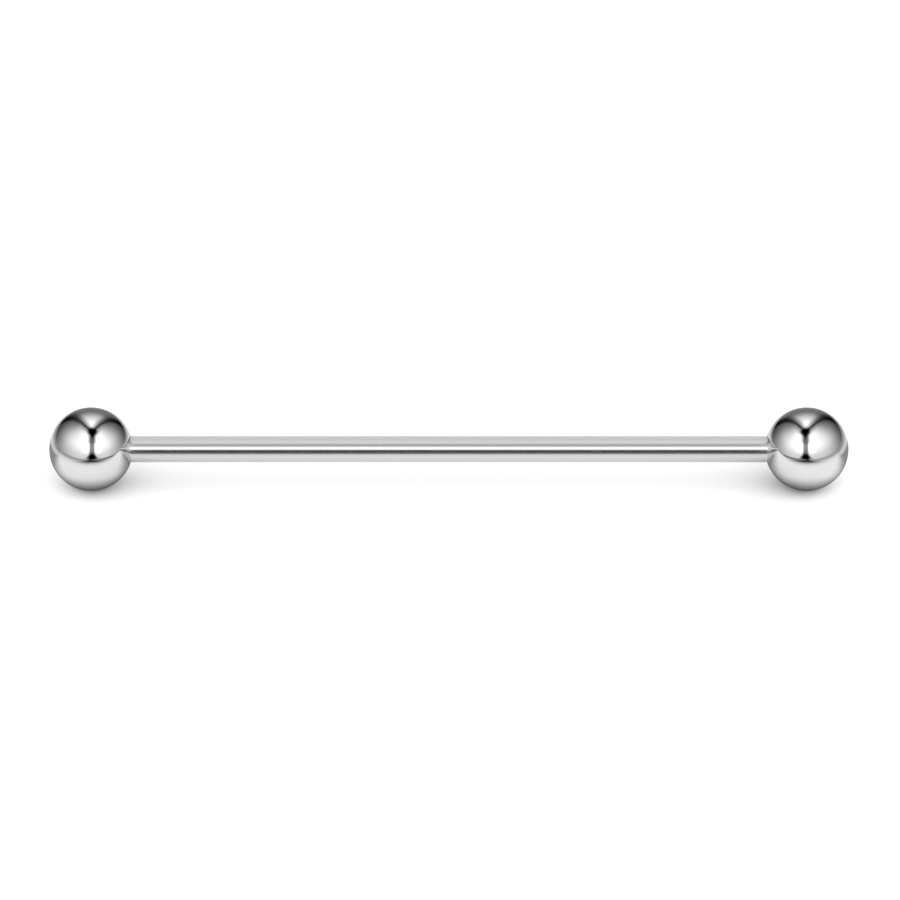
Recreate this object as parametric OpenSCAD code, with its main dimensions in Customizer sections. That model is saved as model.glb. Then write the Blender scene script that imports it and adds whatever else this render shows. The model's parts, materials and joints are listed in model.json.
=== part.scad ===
// Industrial barbell: a straight polished bar worn across the upper ear.
// Each end of the bar is turned down to a screw thread, and a ball screws onto it.
// The bar lies along X, with the middle of the bar at the origin. All sizes are in millimetres.

/* [Bar] */
// Diameter of the bar, 1.6 mm being 14 gauge
bar_d = 1.6; // [1.6:0.1:2.4]
// Length of bar that shows between the balls
bar_length = 38; // [20:1:60]
// Bevel that takes the edge off each shoulder of the bar
shoulder_bevel = 0.06; // [0.02:0.01:0.1]

/* [Screw thread] */
// Diameter over the crests of the thread
thread_d = 1.2; // [1:0.05:1.3]
// Distance along the thread for one turn
thread_pitch = 0.25; // [0.2:0.05:0.3]
// Length of each threaded stud, from its shoulder to its tip
stud_length = 2.6; // [2:0.1:2.8]

/* [Balls] */
// Diameter of each ball
ball_d = 5; // [4.5:0.5:8]
// Depth to which a shoulder of the bar sits inside its ball
seat_depth = 0.2; // [0.1:0.05:0.3]

/* [Fit] */
// Gap all round the bar where it enters a ball
fit_gap = 0.02; // [0.01:0.01:0.05]

/* [Hidden] */
$fn = 128;

// Where things lie along the bar, measured from its middle
shoulder_x = bar_length / 2 + seat_depth;
seat_r = bar_d / 2 + fit_gap;
ball_r = ball_d / 2;
ball_x = bar_length / 2 + sqrt(ball_r * ball_r - seat_r * seat_r);

// Metric thread profile, as radii and as half widths along the thread
crest_r = thread_d / 2;
root_r = crest_r - 0.61 * thread_pitch;
crest_half = 0.06 * thread_pitch;
foot_half = 0.42 * thread_pitch;
foot_depth = 0.06;          // how deep the ridge's foot is rooted in the stud
thread_sides = 24;          // facets in one turn of the ridge
relief_length = 0.3;        // plain neck between the shoulder and the first turn
tip_bevel = 0.12;
thread_turns = floor((stud_length - relief_length - tip_bevel) / thread_pitch);

// Hole in each ball, which is wide enough for the ball to be drawn straight off the thread
hole_r = crest_r + fit_gap;
hole_clearance = 0.35;      // room beyond the tip of the stud
drill_point_angle = 118;
mouth_bevel = 0.04;

// Turns what is drawn upright so that it points along +X
module along_x() {
    rotate([0, 90, 0]) children();
}

// Height of the ridge from 0 to 1, which rises over the first turn and falls over the last
function ridge_rise(step, steps) =
    min(1, step / thread_sides, (steps - step) / thread_sides);

// One section of the ridge: two points at its foot inside the stud, then two along its crest
function ridge_section(step, steps) =
    let (
        turn = 360 * step / thread_sides,
        z = thread_pitch * step / thread_sides,
        foot_r = root_r - foot_depth,
        rise = ridge_rise(step, steps),
        top_r = foot_r + foot_depth / 2 + rise * (crest_r - foot_r - foot_depth / 2),
        outline = [
            [foot_r, -foot_half], [foot_r, foot_half], [top_r, crest_half], [top_r, -crest_half]
        ]
    )
    [for (point = outline) [point[0] * cos(turn), point[0] * sin(turn), z + point[1]]];

// Right-hand helical ridge of the thread, starting at z = 0
module thread_ridge(turns) {
    steps = turns * thread_sides;
    corners = 4;
    points = [for (step = [0:steps]) each ridge_section(step, steps)];
    first_end = [[0, 1, 2, 3]];
    last_end = [[for (corner = [corners - 1:-1:0]) corners * steps + corner]];
    sides = [
        for (step = [0:steps - 1], corner = [0:corners - 1])
            let (
                a = corners * step + corner,
                b = corners * step + (corner + 1) % corners
            )
            each [[a, a + corners, b + corners], [a, b + corners, b]]
    ];
    polyhedron(points = points, faces = concat(first_end, sides, last_end), convexity = 10);
}

// Threaded stud standing on the shoulder of the bar
module threaded_stud() {
    overlap = 1;
    straight = stud_length - tip_bevel;
    translate([0, 0, -overlap]) cylinder(r = root_r, h = straight + overlap);
    translate([0, 0, straight]) cylinder(r1 = root_r, r2 = root_r - tip_bevel, h = tip_bevel);
    translate([0, 0, relief_length]) thread_ridge(thread_turns);
}

// Half of the bar: from its middle to the bevelled shoulder, and the stud on it
module half_bar() {
    straight = shoulder_x - shoulder_bevel;
    cylinder(d = bar_d, h = straight);
    translate([0, 0, straight])
        cylinder(d1 = bar_d, d2 = bar_d - 2 * shoulder_bevel, h = shoulder_bevel);
    translate([0, 0, shoulder_x]) threaded_stud();
}

// Straight bar with a threaded stud at each end
module bar() {
    color("lightgray") union() {
        along_x() half_bar();
        rotate([0, 0, 180]) along_x() half_bar();
    }
}

// What is cut out of a ball, from its mouth inwards: bevel, seat for the shoulder, and blind hole
module ball_socket() {
    mouth_z = bar_length / 2;
    seat_floor = shoulder_x + fit_gap;
    hole_end = shoulder_x + stud_length + hole_clearance;
    point_depth = hole_r / tan(drill_point_angle / 2);
    outside = 1;
    translate([0, 0, mouth_z - outside]) cylinder(r = seat_r, h = outside + seat_floor - mouth_z);
    translate([0, 0, mouth_z - mouth_bevel])
        cylinder(r1 = seat_r + 2 * mouth_bevel, r2 = seat_r, h = 2 * mouth_bevel);
    translate([0, 0, mouth_z]) cylinder(r = hole_r, h = hole_end - mouth_z);
    translate([0, 0, hole_end]) cylinder(r1 = hole_r, r2 = 0, h = point_depth);
}

// Ball on the +X end
module ball() {
    along_x() difference() {
        translate([0, 0, ball_x]) sphere(r = ball_r);
        ball_socket();
    }
}

module right_ball() {
    color("silver") ball();
}

module left_ball() {
    color("silver") rotate([0, 0, 180]) ball();
}

bar();
left_ball();
right_ball();
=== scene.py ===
"""Looks of an industrial barbell: a polished steel bar with a mirror-polished ball on each end."""

import json
import math

import bmesh
import bpy
from mathutils import Matrix, Vector


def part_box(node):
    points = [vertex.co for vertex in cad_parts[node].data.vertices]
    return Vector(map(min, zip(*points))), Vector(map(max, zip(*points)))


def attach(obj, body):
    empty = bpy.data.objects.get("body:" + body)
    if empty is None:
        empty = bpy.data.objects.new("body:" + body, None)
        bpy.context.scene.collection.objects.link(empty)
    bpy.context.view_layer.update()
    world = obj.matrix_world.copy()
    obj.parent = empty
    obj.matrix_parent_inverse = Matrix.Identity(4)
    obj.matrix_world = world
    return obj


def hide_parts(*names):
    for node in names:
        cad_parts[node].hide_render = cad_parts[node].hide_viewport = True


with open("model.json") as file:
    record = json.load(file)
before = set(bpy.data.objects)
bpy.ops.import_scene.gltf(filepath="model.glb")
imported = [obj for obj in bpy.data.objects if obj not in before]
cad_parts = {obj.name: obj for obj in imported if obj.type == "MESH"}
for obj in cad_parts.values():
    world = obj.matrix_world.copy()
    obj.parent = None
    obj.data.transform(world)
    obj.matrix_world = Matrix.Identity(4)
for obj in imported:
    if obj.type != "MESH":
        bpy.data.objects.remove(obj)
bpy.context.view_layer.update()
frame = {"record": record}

MM = 0.001
STEPS_ROUND = 128
WELD = 0.001 * MM
SHARP_EDGE = math.radians(25)

# Sizes of the bar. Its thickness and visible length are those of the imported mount.
shank = next(mount for mount in frame["record"]["mounts"] if mount["name"] == "shank")
BAR_R = shank["dims"]["r_mm"] * MM
BAR_HALF = shank["dims"]["length_mm"] * MM / 2
SEAT_DEPTH = 0.2 * MM
SHOULDER_X = BAR_HALF + SEAT_DEPTH
SHOULDER_BEVEL = 0.06 * MM
STUD_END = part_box("bar")[1].x
TIP_BEVEL = 0.12 * MM
TIP_LAND = 0.02 * MM

# Sizes of the screw thread
THREAD_R = 0.6 * MM
PITCH = 0.25 * MM
THREAD_DEPTH = 0.61 * PITCH      # as on a metric outside thread
ROOT_R = THREAD_R - THREAD_DEPTH
NECK_LENGTH = 0.25 * MM
THREAD_START = SHOULDER_X + NECK_LENGTH
THREAD_END = STUD_END - TIP_BEVEL - TIP_LAND
THREAD_ROWS = 16                 # rows of points over one pitch
ROOT_FLAT = 2 / 16               # half widths of the flats, as shares of the pitch
CREST_FLAT = 1 / 16

# Sizes of a ball
BALL_R = 2.5 * MM
BALL_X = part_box("right_ball")[1].x - BALL_R
FIT_GAP = 0.02 * MM
SEAT_R = BAR_R + FIT_GAP
HOLE_R = THREAD_R + FIT_GAP
GROOVE_DEPTH = 0.06 * MM
MOUTH_BEVEL = 0.04 * MM
HOLE_START = SHOULDER_X + FIT_GAP
HOLE_CLEARANCE = 0.35 * MM
HOLE_END = STUD_END + HOLE_CLEARANCE
DRILL_POINT = math.radians(118)
BALL_STEPS = 96
CORNER_STEPS = 5


# Helpers for node trees

def add_node(tree, kind, inputs=None, **settings):
    """Adds a node and gives each named input a value or a link."""
    node = tree.nodes.new(kind)
    for name, value in settings.items():
        setattr(node, name, value)
    for key, value in (inputs or {}).items():
        socket = node.inputs[key]
        if isinstance(value, bpy.types.NodeSocket):
            tree.links.new(value, socket)
        else:
            socket.default_value = value
    return node


def calc(tree, operation, *terms, clamp=False):
    """One Math node on the terms, which are numbers or sockets."""
    inputs = dict(enumerate(terms))
    return add_node(tree, "ShaderNodeMath", inputs, operation=operation, use_clamp=clamp).outputs[0]


def ramp(tree, value, low, high, at_low=0.0, at_high=1.0, ease="SMOOTHSTEP"):
    """Maps value from the span low to high onto at_low to at_high, and holds it there."""
    inputs = {"Value": value, "From Min": low, "From Max": high, "To Min": at_low, "To Max": at_high}
    return add_node(tree, "ShaderNodeMapRange", inputs, interpolation_type=ease, clamp=True).outputs[0]


def split(tree, vector):
    """The x, y and z of a vector."""
    return add_node(tree, "ShaderNodeSeparateXYZ", {"Vector": vector}).outputs[:3]


def blend(tree, share, at_none, at_full):
    """A number that goes from at_none to at_full as share goes from 0 to 1."""
    return add_node(tree, "ShaderNodeMix", {0: share, 2: at_none, 3: at_full}).outputs[0]


def new_group(name, kind, inputs, outputs):
    """A node group with named inputs and outputs, and its input and output nodes."""
    tree = bpy.data.node_groups.new(name, kind)
    for label, (socket_kind, value) in inputs.items():
        socket = tree.interface.new_socket(label, in_out="INPUT", socket_type=socket_kind)
        if value is not None:
            socket.default_value = value
    for label, socket_kind in outputs.items():
        tree.interface.new_socket(label, in_out="OUTPUT", socket_type=socket_kind)
    return tree, tree.nodes.new("NodeGroupInput").outputs, tree.nodes.new("NodeGroupOutput").inputs


# Turned shapes and threads, made by Geometry Nodes

def finish_tree(tree, mesh, material, result):
    """Welds the mesh, gives it its material and puts it out as real geometry."""
    welded = add_node(tree, "GeometryNodeMergeByDistance", {"Geometry": mesh, "Distance": WELD}).outputs[0]
    coated = add_node(
        tree, "GeometryNodeSetMaterial", {"Geometry": welded, "Material": material}).outputs[0]
    real = add_node(tree, "GeometryNodeRealizeInstances", {"Geometry": coated})
    tree.links.new(real.outputs[0], result)


def round_the_axis(tree, x, radius, turn):
    """A point at x along the bar, radius from its axis, turned about it."""
    y = calc(tree, "MULTIPLY", radius, calc(tree, "COSINE", turn))
    z = calc(tree, "MULTIPLY", radius, calc(tree, "SINE", turn))
    return add_node(tree, "ShaderNodeCombineXYZ", {"X": x, "Y": y, "Z": z}).outputs[0]


def numbered_grid(tree, rows, columns):
    """A grid of rows by columns, with each point's row and column as numbers that count from 0."""
    row_span = calc(tree, "SUBTRACT", rows, 1)
    column_span = calc(tree, "SUBTRACT", columns, 1)
    sizes = {"Size X": row_span, "Size Y": column_span, "Vertices X": rows, "Vertices Y": columns}
    grid = add_node(tree, "GeometryNodeMeshGrid", sizes).outputs[0]
    x, y, _ = split(tree, tree.nodes.new("GeometryNodeInputPosition").outputs[0])
    row = calc(tree, "ADD", x, calc(tree, "DIVIDE", row_span, 2))
    column = calc(tree, "ADD", y, calc(tree, "DIVIDE", column_span, 2))
    return grid, calc(tree, "ROUND", row), calc(tree, "ROUND", column)


def lathe_tree():
    """Turns an outline, whose points are (distance along the bar, radius), about the X axis."""
    tree, given, result = new_group(
        "turned_piece", "GeometryNodeTree",
        {"Outline": ("NodeSocketGeometry", None), "Steps Round": ("NodeSocketInt", STEPS_ROUND),
         "Finish": ("NodeSocketMaterial", None)},
        {"Turned Piece": "NodeSocketGeometry"})
    count = add_node(tree, "GeometryNodeAttributeDomainSize", {"Geometry": given["Outline"]}).outputs[0]
    columns = calc(tree, "ADD", given["Steps Round"], 1)
    grid, row, column = numbered_grid(tree, count, columns)
    place = tree.nodes.new("GeometryNodeInputPosition").outputs[0]
    point = add_node(
        tree, "GeometryNodeSampleIndex",
        {"Geometry": given["Outline"], "Value": place, "Index": row},
        data_type="FLOAT_VECTOR").outputs[0]
    x, radius, _ = split(tree, point)
    turn = calc(tree, "MULTIPLY", calc(tree, "DIVIDE", column, given["Steps Round"]), math.tau)
    position = round_the_axis(tree, x, radius, turn)
    shaped = add_node(tree, "GeometryNodeSetPosition", {"Geometry": grid, "Position": position})
    finish_tree(tree, shaped.outputs[0], given["Finish"], result[0])
    return tree


def thread_tree():
    """A sleeve with a right-hand screw thread. Its rows follow the helix, so every edge of it is crisp."""
    tree, given, result = new_group(
        "screw_thread", "GeometryNodeTree",
        {"Start": ("NodeSocketFloat", 0.0), "End": ("NodeSocketFloat", 1.0),
         "Pitch": ("NodeSocketFloat", 1.0), "Root Radius": ("NodeSocketFloat", 1.0),
         "Crest Radius": ("NodeSocketFloat", 1.0),
         "Steps Round": ("NodeSocketInt", STEPS_ROUND), "Finish": ("NodeSocketMaterial", None)},
        {"Thread": "NodeSocketGeometry"})
    start, end, pitch = given["Start"], given["End"], given["Pitch"]
    length = calc(tree, "SUBTRACT", end, start)
    turns = calc(tree, "ADD", calc(tree, "CEIL", calc(tree, "DIVIDE", length, pitch)), 1)
    rows = calc(tree, "ADD", calc(tree, "MULTIPLY", turns, THREAD_ROWS), 1)
    grid, row, column = numbered_grid(tree, rows, calc(tree, "ADD", given["Steps Round"], 1))
    share_of_turn = calc(tree, "DIVIDE", column, given["Steps Round"])
    pitches = calc(tree, "DIVIDE", row, THREAD_ROWS)
    turns_along = calc(tree, "ADD", pitches, calc(tree, "SUBTRACT", share_of_turn, 1))
    free_x = calc(tree, "ADD", start, calc(tree, "MULTIPLY", turns_along, pitch))
    x = calc(tree, "MINIMUM", calc(tree, "MAXIMUM", free_x, start), end)
    across = calc(tree, "SUBTRACT", calc(tree, "FRACT", pitches), 0.5)
    from_root = calc(tree, "SUBTRACT", 0.5, calc(tree, "ABSOLUTE", across))
    height = ramp(tree, from_root, ROOT_FLAT, 0.5 - CREST_FLAT, ease="LINEAR")
    rise = calc(tree, "DIVIDE", calc(tree, "SUBTRACT", x, start), pitch)
    fall = calc(tree, "DIVIDE", calc(tree, "SUBTRACT", end, x), pitch)
    run_out = calc(tree, "MINIMUM", rise, fall, clamp=True)
    depth = calc(tree, "SUBTRACT", given["Crest Radius"], given["Root Radius"])
    raised = calc(tree, "MULTIPLY", depth, calc(tree, "MULTIPLY", height, run_out))
    radius = calc(tree, "ADD", given["Root Radius"], raised)
    position = round_the_axis(tree, x, radius, calc(tree, "MULTIPLY", share_of_turn, math.tau))
    shaped = add_node(tree, "GeometryNodeSetPosition", {"Geometry": grid, "Position": position})
    finish_tree(tree, shaped.outputs[0], given["Finish"], result[0])
    return tree


def mesh_from_tree(tree, start_mesh, values):
    """The plain mesh that a Geometry Nodes tree makes from a mesh and named values."""
    maker = bpy.data.objects.new("maker", start_mesh)
    bpy.context.scene.collection.objects.link(maker)
    modifier = maker.modifiers.new("make", "NODES")
    modifier.node_group = tree
    for socket in tree.interface.items_tree:
        if socket.in_out == "INPUT" and socket.name in values:
            modifier[socket.identifier] = values[socket.name]
    made = maker.evaluated_get(bpy.context.evaluated_depsgraph_get())
    mesh = bpy.data.meshes.new_from_object(made)
    bpy.data.objects.remove(maker)
    return mesh


def turned(outline, finish):
    """A mesh turned from a list of (distance along the bar, radius) points."""
    points = [(x, radius, 0) for x, radius in outline]
    edges = [(i, i + 1) for i in range(len(points) - 1)]
    profile = bpy.data.meshes.new("outline")
    profile.from_pydata(points, edges, [])
    return mesh_from_tree(LATHE, profile, {"Steps Round": STEPS_ROUND, "Finish": finish})


def threaded(start, end, root_radius, crest_radius, finish):
    """A threaded sleeve from start to end along the bar."""
    values = {"Start": start, "End": end, "Pitch": PITCH, "Root Radius": root_radius,
              "Crest Radius": crest_radius, "Steps Round": STEPS_ROUND, "Finish": finish}
    return mesh_from_tree(THREAD, bpy.data.meshes.new("thread"), values)


def end_for_end(mesh):
    """The same mesh turned half round about the Z axis."""
    copy = mesh.copy()
    copy.transform(Matrix.Rotation(math.pi, 4, "Z"))
    return copy


def welded_piece(name, meshes):
    """One closed piece from meshes whose rims meet."""
    shell = bmesh.new()
    for mesh in meshes:
        shell.from_mesh(mesh)
    bmesh.ops.remove_doubles(shell, verts=shell.verts, dist=WELD)
    bmesh.ops.recalc_face_normals(shell, faces=shell.faces)
    for face in shell.faces:
        face.material_index = 0
    piece_mesh = bpy.data.meshes.new(name)
    shell.to_mesh(piece_mesh)
    shell.free()
    piece_mesh.materials.append(meshes[0].materials[-1])
    piece_mesh.shade_smooth()
    piece_mesh.set_sharp_from_angle(angle=SHARP_EDGE)
    piece = bpy.data.objects.new(name, piece_mesh)
    bpy.context.scene.collection.objects.link(piece)
    return piece


# Outlines of the turned pieces

def arc(centre, size, first, last, count):
    """Points on an arc of an outline, at angles from first to last."""
    angles = [first + (last - first) * i / count for i in range(count + 1)]
    return [(centre[0] + size * math.cos(angle), centre[1] + size * math.sin(angle)) for angle in angles]


def bar_middle():
    """The shank, its two rounded shoulders, and the plain neck beyond each."""
    centre = (SHOULDER_X - SHOULDER_BEVEL, BAR_R - SHOULDER_BEVEL)
    corner = arc(centre, SHOULDER_BEVEL, math.pi / 2, 0, CORNER_STEPS)
    right = corner + [(SHOULDER_X, ROOT_R), (THREAD_START, ROOT_R)]
    left = [(-x, radius) for x, radius in reversed(right)]
    return left + right


def stud_tip():
    """The end of a stud beyond its thread."""
    bevel = [(STUD_END - TIP_BEVEL, ROOT_R), (STUD_END, ROOT_R - TIP_BEVEL)]
    return [(THREAD_END, ROOT_R)] + bevel + [(STUD_END, 0)]


def ball_shell():
    """The outside of a ball, the bevel of its mouth, the seat for the shoulder, and the hole's rim."""
    mouth_r = SEAT_R + MOUTH_BEVEL
    mouth_turn = math.pi - math.asin(mouth_r / BALL_R)
    outside = arc((BALL_X, 0), BALL_R, 0, mouth_turn, BALL_STEPS)
    outside[0] = (BALL_X + BALL_R, 0)
    mouth_x = outside[-1][0]
    return outside + [(mouth_x + MOUTH_BEVEL, SEAT_R), (HOLE_START, SEAT_R), (HOLE_START, HOLE_R)]


def hole_bottom():
    """The cone that the drill leaves at the bottom of a ball's hole."""
    return [(HOLE_END, HOLE_R), (HOLE_END + HOLE_R / math.tan(DRILL_POINT / 2), 0)]


# Finishes

STEEL = (0.66, 0.66, 0.655, 1)
MARK_DEPTH = 0.004 * MM
HAZY_PART = (0.4, 0.7)             # values of the noise between which haze and hairlines set in
HAIRLINE_PART = (0.64, 0.74)
HAIRLINE_SIZE = (1.6 * MM, 0.02 * MM, 0.02 * MM)
ALONG_RINGS = (1, 0.05, 0.05)      # draws the grain out into rings round the bar


def polish_marks_group():
    """Grain left by polishing, haze from handling, and hairlines along X, as height and roughness."""
    group, given, result = new_group(
        "polish_marks", "ShaderNodeTree",
        {"Place": ("NodeSocketVector", None), "Stretch": ("NodeSocketVector", (1, 1, 1)),
         "Grain Scale": ("NodeSocketFloat", 1.0), "Haze Scale": ("NodeSocketFloat", 1.0),
         "Polish": ("NodeSocketFloat", 0.03), "Haze": ("NodeSocketFloat", 0.03),
         "Hairlines": ("NodeSocketFloat", 0.1)},
        {"Roughness": "NodeSocketFloat", "Height": "NodeSocketFloat"})
    drawn = add_node(
        group, "ShaderNodeVectorMath", {0: given["Place"], 1: given["Stretch"]},
        operation="MULTIPLY").outputs[0]
    grain = add_node(
        group, "ShaderNodeTexNoise",
        {"Vector": drawn, "Scale": given["Grain Scale"], "Detail": 3.0, "Roughness": 0.6}).outputs[0]
    haze = add_node(
        group, "ShaderNodeTexNoise",
        {"Vector": given["Place"], "Scale": given["Haze Scale"], "Detail": 4.0,
         "Distortion": 0.6}).outputs[0]
    along = add_node(
        group, "ShaderNodeVectorMath", {0: given["Place"], 1: HAIRLINE_SIZE},
        operation="DIVIDE").outputs[0]
    hairline = add_node(
        group, "ShaderNodeTexNoise", {"Vector": along, "Scale": 1.0, "Detail": 1.0}).outputs[0]
    scratched = calc(group, "MULTIPLY", ramp(group, hairline, *HAIRLINE_PART), given["Hairlines"])
    hazed = calc(group, "MULTIPLY", ramp(group, haze, *HAZY_PART), given["Haze"])
    marked = calc(group, "ADD", hazed, scratched)
    group.links.new(calc(group, "ADD", given["Polish"], marked), result["Roughness"])
    group.links.new(calc(group, "SUBTRACT", grain, scratched), result["Height"])
    return group


def new_material(name):
    """An empty material with a Principled shader, and its tree."""
    material = bpy.data.materials.new(name)
    material.use_nodes = True
    return material, material.node_tree, material.node_tree.nodes["Principled BSDF"]


def steel(name, bump, **marks):
    """Polished steel with the marks given by name."""
    material, tree, shader = new_material(name)
    group = add_node(tree, "ShaderNodeGroup", node_tree=POLISH_MARKS)
    tree.links.new(tree.nodes.new("ShaderNodeTexCoord").outputs["Object"], group.inputs["Place"])
    for label, value in marks.items():
        group.inputs[label.replace("_", " ").title()].default_value = value
    normal = add_node(
        tree, "ShaderNodeBump",
        {"Height": group.outputs["Height"], "Strength": bump, "Distance": MARK_DEPTH}).outputs[0]
    tree.links.new(group.outputs["Roughness"], shader.inputs["Roughness"])
    tree.links.new(normal, shader.inputs["Normal"])
    shader.inputs["Base Color"].default_value = STEEL
    shader.inputs["Metallic"].default_value = 1.0
    return material, tree, shader


POLISH_MARKS = polish_marks_group()


def ball_steel():
    """Mirror polish, all but free of marks."""
    marks = {"grain_scale": 9000, "haze_scale": 700, "polish": 0.02, "haze": 0.03, "hairlines": 0}
    return steel("ball_steel", bump=0.05, **marks)[0]


def bar_steel():
    """Polish with fine rings left by turning, which spread reflections along the bar."""
    marks = {"grain_scale": 14000, "haze_scale": 400, "polish": 0.235, "haze": 0.03, "hairlines": 0.08}
    material, tree, shader = steel("bar_steel", bump=0.7, stretch=ALONG_RINGS, **marks)
    tangent = add_node(tree, "ShaderNodeTangent", direction_type="RADIAL", axis="X").outputs[0]
    tree.links.new(tangent, shader.inputs["Tangent"])
    shader.inputs["Anisotropic"].default_value = 1.0
    shader.inputs["Anisotropic Rotation"].default_value = 0.25
    return material


# The pieces

LATHE = lathe_tree()
THREAD = thread_tree()


def build_bar(finish):
    """The bar with a threaded stud at each end."""
    thread = threaded(THREAD_START, THREAD_END, ROOT_R, THREAD_R, finish)
    right_end = [turned(stud_tip(), finish), thread]
    meshes = [turned(bar_middle(), finish)] + right_end + [end_for_end(mesh) for mesh in right_end]
    piece = welded_piece("threaded_bar", meshes)
    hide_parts("bar")
    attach(piece, "bar")


def build_balls(finish):
    """The two balls, which are the same piece turned end for end."""
    grooves = threaded(HOLE_START, HOLE_END, HOLE_R, HOLE_R + GROOVE_DEPTH, finish)
    right = [turned(ball_shell(), finish), grooves, turned(hole_bottom(), finish)]
    left = [end_for_end(mesh) for mesh in right]
    for side, meshes in (("right", right), ("left", left)):
        piece = welded_piece(side + "_screw_ball", meshes)
        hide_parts(side + "_ball")
        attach(piece, side + "_ball")


build_bar(bar_steel())
build_balls(ball_steel())


# Camera

CAMERA_ELEVATION = math.radians(28)
CAMERA_DISTANCE = 400 * MM
VIEW_WIDTH = 53.74 * MM                        # width that the picture covers at the bar
AIM = Vector((0.066 * MM, 0, -0.07 * MM))      # the photograph's centre is a little off the bar's
SENSOR_MM = 36
NEAREST = 10 * MM
FARTHEST = 20


def camera_direction():
    """Direction from the bar to the camera."""
    return Vector((0, -math.cos(CAMERA_ELEVATION), math.sin(CAMERA_ELEVATION)))


def place_camera():
    """A long lens in front of the bar and above it."""
    data = bpy.data.cameras.new("camera")
    data.sensor_width = SENSOR_MM
    data.lens = SENSOR_MM * CAMERA_DISTANCE / VIEW_WIDTH
    data.clip_start = NEAREST
    data.clip_end = FARTHEST
    camera = bpy.data.objects.new("camera", data)
    bpy.context.scene.collection.objects.link(camera)
    camera.location = AIM + camera_direction() * CAMERA_DISTANCE
    camera.rotation_euler = (math.pi / 2 - CAMERA_ELEVATION, 0, 0)
    bpy.context.scene.camera = camera


# Studio: a pale floor inside a tent of three lit panels with dark seams between them

TENT_FRONT = 222 * MM                    # how far its round front stands off, and its sides and back
TENT_BACK = 1000 * MM
TENT_FRONT_EDGE = 0.62                   # where the front ends: cosine of the angle from the camera
TENT_STEPS = 64
TENT_APEX = math.radians(77)             # height of the point where the three seams meet
BACK_SEAM_AZIMUTH = math.radians(148)    # where each back seam comes down, counted from the camera's side
BACK_SEAM_SPREAD = (0.27, 0.15)          # how far its shade reaches behind and in front, distance 1
FRONT_SEAM_SPREAD = (0.026, 0.25)
FRONT_LIGHT = 1.65
BACK_LIGHT = 1.4
STEM_GREY = 0.12                         # light that comes through the middle of the front seam
LAMP_LIGHT = 1.0                         # what a lamp behind the cloth adds beside the front seam
RIDGE_LIGHT = 1.7                        # how much brighter the back panel is just behind the apex
HEM_LIGHT = 0.9                          # light of the hem at the sides
HEM_SHADE = (0.55, 1.0)                  # shares of the hem's height between which its shade ends
ROOM_LIGHT = 1.3
FLOOR_LIGHT = 1.5                        # light that the floor receives, and how much it leans each way
FLOOR_LIGHT_FRONT = 0.8
FLOOR_LIGHT_RIGHT = 0.26
FLOOR_LIGHT_OUTSIDE = 0.55
FLOOR_WHITE = 0.86
FLOOR_REFLECTED = 0.81                   # how white the steel sees the floor beside it
FLOOR_SIZE = 6.0

# Where each change of the tent's light starts and ends, in degrees, and its value at either end
OUTWARD_FADE = (28, 148, 1.0, 0.07)
LOW_FADE = (4, 37, 0.61, 1.0)
CROWN_FADE = (62, 78, 1.0, 0.37)
BACK_FADE = (22, 84, 0.15, 1.0)
BACK_SIDE = (12, 34, 1.0, 0.12)
RIDGE_FADE = (12, 42, RIDGE_LIGHT, 1.12)
APEX_SHADE = (6, 18, 0.0, 1.0)
BACK_SEAM_GREY = (66, 88, 0.2, 0.05)
LAMP_SIDE = (20, 34, 1.0, 0.0)
LAMP_FOOT = (12, 24, 0.0, 1.0)
LAMP_TOP = (38, 48, 1.0, 0.0)
STEM_FOOT = (8, 20, 0.0, 1.0)
STEM_TOP = (50, 68, 1.0, 0.0)
HEM_HEIGHT = (4, 20, math.radians(17), math.radians(3))
HEM_SIDE = (4, 26, 0.0, HEM_LIGHT)

# The light that the bar sees at heights over it, in degrees from the front. In the photograph it shows
# even lines along its whole length, which do not fit what the balls reflect.
BAR_TENT = (
    (0, 0.1), (18, 0.08), (24, 1.6), (44, 1.6), (52, 0.56), (66, 0.58), (84, 1.05), (120, 0.87),
    (180, 0.95))
HALF_TURN = 180
BRIGHTEST = 1.6

# Where the painted shade on the floor that the steel sees changes, in millimetres, and its value at either
# end of a change
# Painted shade: the floor seen in the steel grows darker with distance from the bar and balls
FLOOR_FAR = (5, 36, 1.0, 0.4)
# Painted shadow of each ball on the floor behind it, which FLOOR_BEHIND and FLOOR_AWAY lift again further
# off
FLOOR_REAR = (-2.5, 2, 1.0, 0.3)
FLOOR_BEHIND = (3, 9, 0.0, 0.85)
FLOOR_AWAY = (5, 15, 0.0, 0.85)
# Painted shade on the floor far in front, deepest in line with the balls; FLOOR_OUTSIDE and FLOOR_INSIDE
# ease it off beside them
FLOOR_FRONT = (-25, -7, 0.1, 1.0)
FLOOR_OUTSIDE = (0, 16, 0.0, 1.0)
FLOOR_INSIDE = (-24, -2, 0.8, 0.0)
# Painted contact shadow on the floor round the foot of each ball
UNDER_BALL = (0.9, 3.6, 0.3, 1.0)
# Painted shade on the floor in front of the bar, darker further forward, which only the bar reflects
BAR_FLOOR = (-15, -2.2, 0.08, 0.77)


def apex_direction():
    """Direction from the bar to the tent's apex."""
    return Vector((0, -math.cos(TENT_APEX), math.sin(TENT_APEX)))


def seam_direction():
    """Sideways direction square to the plane of the right back seam, pointing into the right panel."""
    foot = Vector((math.sin(BACK_SEAM_AZIMUTH), -math.cos(BACK_SEAM_AZIMUTH), 0))
    return foot.cross(apex_direction()).normalized()


def dot(tree, a, b):
    """How far vector a reaches along vector b, times the length of b."""
    return add_node(tree, "ShaderNodeVectorMath", {0: a, 1: b}, operation="DOT_PRODUCT").outputs["Value"]


def product(tree, *factors):
    """All the factors multiplied together."""
    result = factors[0]
    for factor in factors[1:]:
        result = calc(tree, "MULTIPLY", result, factor)
    return result


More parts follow.
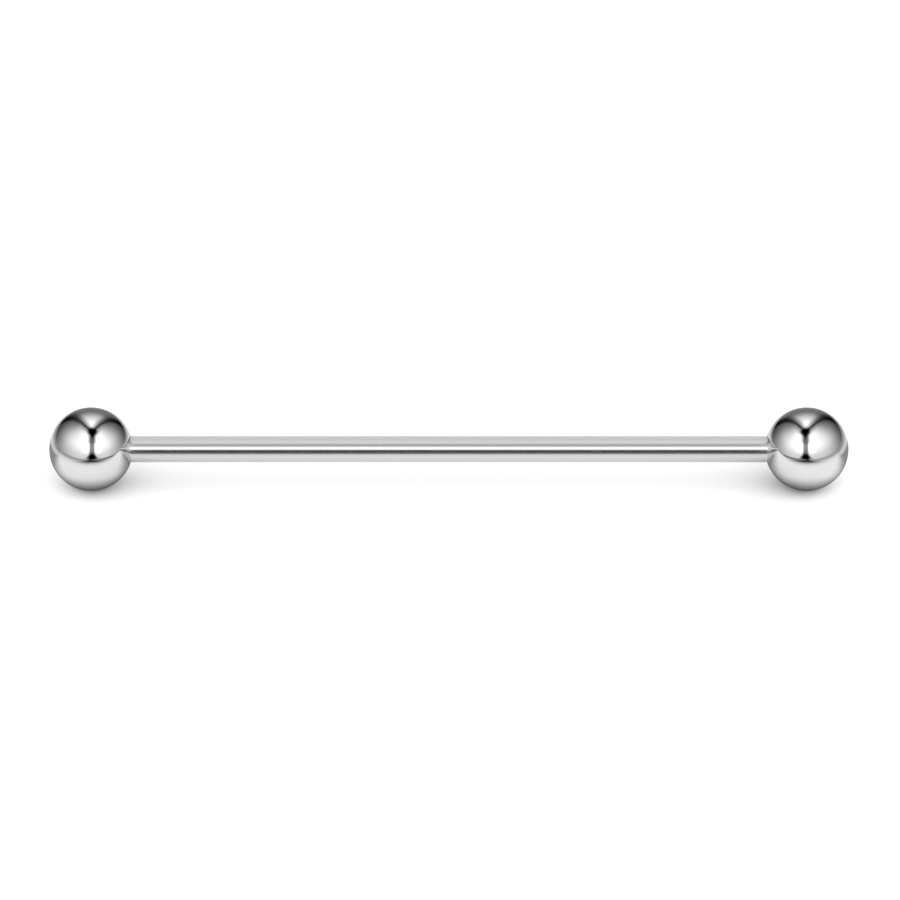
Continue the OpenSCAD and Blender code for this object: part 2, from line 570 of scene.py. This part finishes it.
def by_angle(tree, angle, change):
    """Follows a change whose span is in degrees."""
    low, high, at_low, at_high = change
    return ramp(tree, angle, math.radians(low), math.radians(high), at_low, at_high)


def by_distance(tree, distance, change):
    """Follows a change whose span is in millimetres."""
    low, high, at_low, at_high = change
    return ramp(tree, distance, low * MM, high * MM, at_low, at_high)


def from_bar(tree):
    """1 for light seen in the bar and 0 for light seen in a ball, by where its line passes the X axis."""
    geometry = tree.nodes.new("ShaderNodeNewGeometry").outputs
    place, heading = geometry["Position"], geometry["Incoming"]
    along, to_y, to_z = split(tree, heading)
    across = add_node(tree, "ShaderNodeCombineXYZ", {"Y": to_y, "Z": to_z}).outputs[0]
    square = add_node(
        tree, "ShaderNodeCombineXYZ", {"Y": to_z, "Z": calc(tree, "MULTIPLY", to_y, -1)}).outputs[0]
    width = dot(tree, across, across)
    steps = calc(tree, "DIVIDE", dot(tree, place, across), width)
    x = calc(tree, "SUBTRACT", split(tree, place)[0], product(tree, steps, along))
    # Squares of how far the line passes from the axis, and from the middle of the ball ahead of it
    off_axis = calc(tree, "DIVIDE", calc(tree, "POWER", dot(tree, place, square), 2), width)
    to_ball = calc(tree, "ADD", BALL_X, product(tree, x, calc(tree, "SIGN", along)))
    off_ball = calc(tree, "ADD", product(tree, to_ball, to_ball, width), off_axis)
    return product(
        tree, calc(tree, "LESS_THAN", calc(tree, "ABSOLUTE", x), BAR_HALF),
        calc(tree, "LESS_THAN", off_axis, SEAT_R ** 2), calc(tree, "GREATER_THAN", off_ball, BALL_R ** 2))


def bar_tent(tree, toward):
    """Light that the bar sees in the tent, which changes only with the height over the bar."""
    _, y, z = split(tree, toward)
    over = calc(tree, "ARCTAN2", z, calc(tree, "MULTIPLY", y, -1))
    stops = add_node(tree, "ShaderNodeValToRGB", {"Fac": calc(tree, "DIVIDE", over, math.pi)})
    elements = stops.color_ramp.elements
    elements.remove(elements[1])
    for degrees, light in BAR_TENT:
        element = elements.new(degrees / HALF_TURN) if degrees else elements[0]
        element.color = (light / BRIGHTEST,) * 3 + (1,)
    return calc(tree, "MULTIPLY", stops.outputs["Color"], BRIGHTEST)


def floor_light(tree, place, toward):
    """Light that a spot on the floor receives: more from the front, the right and its end of the bar."""
    x, _, z = split(tree, place)
    along, _, down = split(tree, tree.nodes.new("ShaderNodeNewGeometry").outputs["Incoming"])
    floor_x = calc(tree, "SUBTRACT", x, product(tree, z, calc(tree, "DIVIDE", along, down)))
    own_end = ramp(
        tree, floor_x, -BALL_X, BALL_X, -FLOOR_LIGHT_OUTSIDE, FLOOR_LIGHT_OUTSIDE, ease="LINEAR")
    front_right = dot(tree, toward, (FLOOR_LIGHT_RIGHT, -FLOOR_LIGHT_FRONT, 0))
    evened = calc(tree, "ADD", FLOOR_LIGHT, front_right)
    return calc(tree, "SUBTRACT", evened, product(tree, along, own_end))


def tent_light():
    """Light of the cloth: two front panels, brightest beside the front seam, and a panel over the back."""
    material = bpy.data.materials.new("tent_light")
    material.use_nodes = True
    tree = material.node_tree
    tree.nodes.clear()
    place = tree.nodes.new("ShaderNodeTexCoord").outputs["Object"]
    toward = add_node(tree, "ShaderNodeVectorMath", {0: place}, operation="NORMALIZE").outputs[0]
    x, y, z = split(tree, toward)
    side = calc(tree, "ABSOLUTE", x)
    azimuth = calc(tree, "ARCTAN2", side, calc(tree, "MULTIPLY", y, -1))
    elevation = calc(tree, "ARCSINE", z)
    to_right = add_node(tree, "ShaderNodeCombineXYZ", {"X": side, "Y": y, "Z": z}).outputs[0]
    from_back_seam = dot(tree, to_right, seam_direction())
    from_apex = calc(tree, "ARCCOSINE", dot(tree, toward, apex_direction()))
    behind = calc(tree, "LESS_THAN", from_back_seam, 0.0)

    lamp_height = product(tree, by_angle(tree, elevation, LAMP_FOOT), by_angle(tree, elevation, LAMP_TOP))
    lamp = product(tree, LAMP_LIGHT, by_angle(tree, azimuth, LAMP_SIDE), lamp_height)
    front_panel = product(
        tree, FRONT_LIGHT, by_angle(tree, azimuth, OUTWARD_FADE), by_angle(tree, elevation, LOW_FADE),
        by_angle(tree, elevation, CROWN_FADE), calc(tree, "ADD", 1.0, lamp))
    back_panel = product(
        tree, BACK_LIGHT, by_angle(tree, elevation, BACK_FADE), by_angle(tree, from_apex, RIDGE_FADE),
        by_angle(tree, calc(tree, "ARCSINE", side), BACK_SIDE))
    panels = blend(tree, behind, front_panel, back_panel)

    spread_behind, spread_in_front = BACK_SEAM_SPREAD
    spread = blend(tree, behind, spread_in_front, spread_behind)
    seam_grey = by_angle(tree, from_apex, BACK_SEAM_GREY)
    back_seam = ramp(tree, calc(tree, "ABSOLUTE", from_back_seam), 0.0, spread, seam_grey)
    stem_height = product(tree, by_angle(tree, elevation, STEM_FOOT), by_angle(tree, elevation, STEM_TOP))
    stem = product(tree, STEM_GREY, stem_height)
    front_seam = calc(tree, "MAXIMUM", ramp(tree, side, *FRONT_SEAM_SPREAD), stem)
    apex = by_angle(tree, from_apex, APEX_SHADE)
    in_front = product(tree, calc(tree, "MAXIMUM", front_seam, behind), apex)
    above_hem = ramp(tree, calc(tree, "DIVIDE", elevation, by_angle(tree, azimuth, HEM_HEIGHT)), *HEM_SHADE)
    hem = calc(tree, "MAXIMUM", above_hem, by_angle(tree, azimuth, HEM_SIDE))
    by_balls = product(tree, panels, back_seam, in_front, hem)
    seen = blend(tree, from_bar(tree), by_balls, bar_tent(tree, toward))

    on_floor = tree.nodes.new("ShaderNodeLightPath").outputs["Is Diffuse Ray"]
    strength = blend(tree, on_floor, seen, floor_light(tree, place, toward))
    light = add_node(tree, "ShaderNodeEmission", {"Strength": strength})
    output = tree.nodes.new("ShaderNodeOutputMaterial")
    tree.links.new(light.outputs[0], output.inputs["Surface"])
    material.cycles.emission_sampling = "NONE"
    return material


def raise_tent():
    """A tent over the bar, near in front and far at the back, which the camera looks through."""
    mesh = bpy.data.meshes.new("light_tent")
    shell = bmesh.new()
    bmesh.ops.create_uvsphere(shell, u_segments=TENT_STEPS, v_segments=TENT_STEPS // 2, radius=1)
    low = [vertex for vertex in shell.verts if vertex.co.z < -WELD]
    bmesh.ops.delete(shell, geom=low, context="VERTS")
    for vertex in shell.verts:
        facing = vertex.co.dot(camera_direction())
        nearness = min(max(facing / TENT_FRONT_EDGE, 0), 1)
        vertex.co *= TENT_BACK + (TENT_FRONT - TENT_BACK) * nearness
    shell.to_mesh(mesh)
    shell.free()
    mesh.materials.append(tent_light())
    tent = bpy.data.objects.new("light_tent", mesh)
    bpy.context.scene.collection.objects.link(tent)
    tent.location.z = -BALL_R
    tent.visible_camera = False
    tent.visible_shadow = False


def plane_distance(tree, a, b):
    """Distance in the plane from its two parts."""
    return calc(tree, "SQRT", calc(tree, "ADD", calc(tree, "POWER", a, 2), calc(tree, "POWER", b, 2)))


def pale_floor():
    """Matt white to the camera. In the steel its colour carries painted shade: grey with distance, under
    and behind the balls, and in front of the bar.
    """
    material, tree, shader = new_material("pale_floor")
    x, y, _ = split(tree, tree.nodes.new("ShaderNodeTexCoord").outputs["Object"])
    past_ball = calc(tree, "SUBTRACT", calc(tree, "ABSOLUTE", x), BALL_X)
    from_both = plane_distance(tree, calc(tree, "MAXIMUM", past_ball, 0.0), y)
    from_ball = plane_distance(tree, past_ball, y)
    beside = calc(
        tree, "MAXIMUM",
        by_distance(tree, past_ball, FLOOR_OUTSIDE), by_distance(tree, past_ball, FLOOR_INSIDE))
    front = calc(tree, "MAXIMUM", by_distance(tree, y, FLOOR_FRONT), beside)
    clear = calc(
        tree, "MAXIMUM",
        by_distance(tree, y, FLOOR_BEHIND), by_distance(tree, from_ball, FLOOR_AWAY))
    rear = calc(tree, "MAXIMUM", by_distance(tree, y, FLOOR_REAR), clear)
    # Painted shade that only reflections in the balls see: grey with distance, a painted shadow behind and
    # under each ball, and painted shade in front of the bar
    by_balls = product(
        tree, FLOOR_REFLECTED, front, rear, by_distance(tree, from_both, FLOOR_FAR),
        by_distance(tree, from_ball, UNDER_BALL))
    # Painted shade on the floor in front of the bar, which only the bar reflects
    by_bar = by_distance(tree, y, BAR_FLOOR)
    painted_floor_shade = blend(tree, from_bar(tree), by_balls, by_bar)
    in_steel = tree.nodes.new("ShaderNodeLightPath").outputs["Is Glossy Ray"]
    shade = blend(tree, in_steel, FLOOR_WHITE, painted_floor_shade)
    grey = add_node(tree, "ShaderNodeCombineColor", {"Red": shade, "Green": shade, "Blue": shade})
    tree.links.new(grey.outputs[0], shader.inputs["Base Color"])
    shader.inputs["Roughness"].default_value = 1.0
    shader.inputs["Specular IOR Level"].default_value = 0.0
    return material


def lay_floor():
    """A pale floor that the balls rest on."""
    half = FLOOR_SIZE / 2
    mesh = bpy.data.meshes.new("floor")
    corners = [(-half, -half), (half, -half), (half, half), (-half, half)]
    mesh.from_pydata([(x, y, -BALL_R) for x, y in corners], [], [(0, 1, 2, 3)])
    mesh.materials.append(pale_floor())
    floor = bpy.data.objects.new("floor", mesh)
    bpy.context.scene.collection.objects.link(floor)


def light_room():
    """A white room round the tent."""
    world = bpy.data.worlds.new("room")
    world.use_nodes = True
    background = world.node_tree.nodes["Background"]
    background.inputs["Color"].default_value = (1, 1, 1, 1)
    background.inputs["Strength"].default_value = ROOM_LIGHT
    bpy.context.scene.world = world


place_camera()
raise_tent()
lay_floor()
light_room()
bpy.context.scene.view_settings.view_transform = "Standard"
